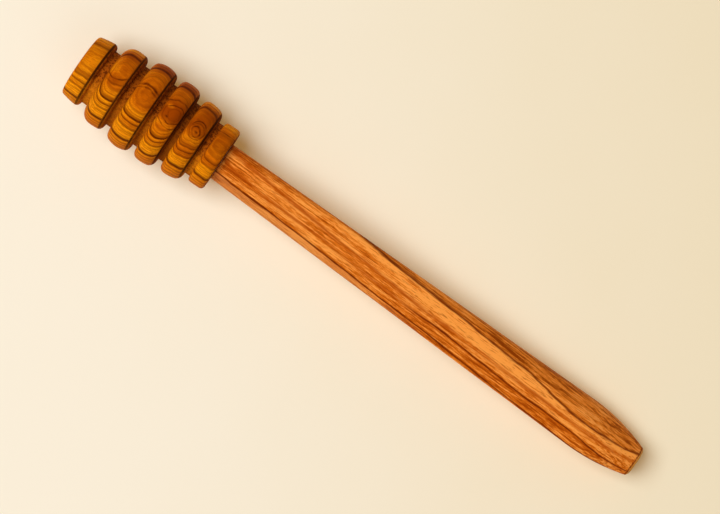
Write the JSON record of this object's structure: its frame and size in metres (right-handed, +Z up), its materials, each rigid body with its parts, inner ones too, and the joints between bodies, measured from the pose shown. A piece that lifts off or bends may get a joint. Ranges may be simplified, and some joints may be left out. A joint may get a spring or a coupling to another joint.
{
  "type": "honey dipper",
  "caption": "Hand-made wooden honey dipper: a turned, grooved, barrel-shaped head, joined by a hidden glued dowel to a planed handle of another timber with a bullet-shaped butt.",
  "frame": {"origin": "on the table, below the middle of the part's box, with the dipper lying as in the picture on its widest lobe and the underside of the handle's belly", "axes": "+X from the head to the butt of the handle, +Z up from the table, +Y to the side where the top of the handle is rounded most"},
  "size_m": [0.171, 0.024, 0.024],
  "materials": {
    "head_wood": "oiled, golden brown with fine dark growth rings",
    "handle_wood": "oiled, orange brown with long straight grain",
    "dowel_wood": "plain pale hardwood, unfinished",
    "wood_glue": "set wood glue, translucent cream"
  },
  "bodies": {
    "root": {"head": "head_wood", "handle": "handle_wood", "joint_dowel": "dowel_wood", "glue_film": "wood_glue"}
  },
  "joints": []
}
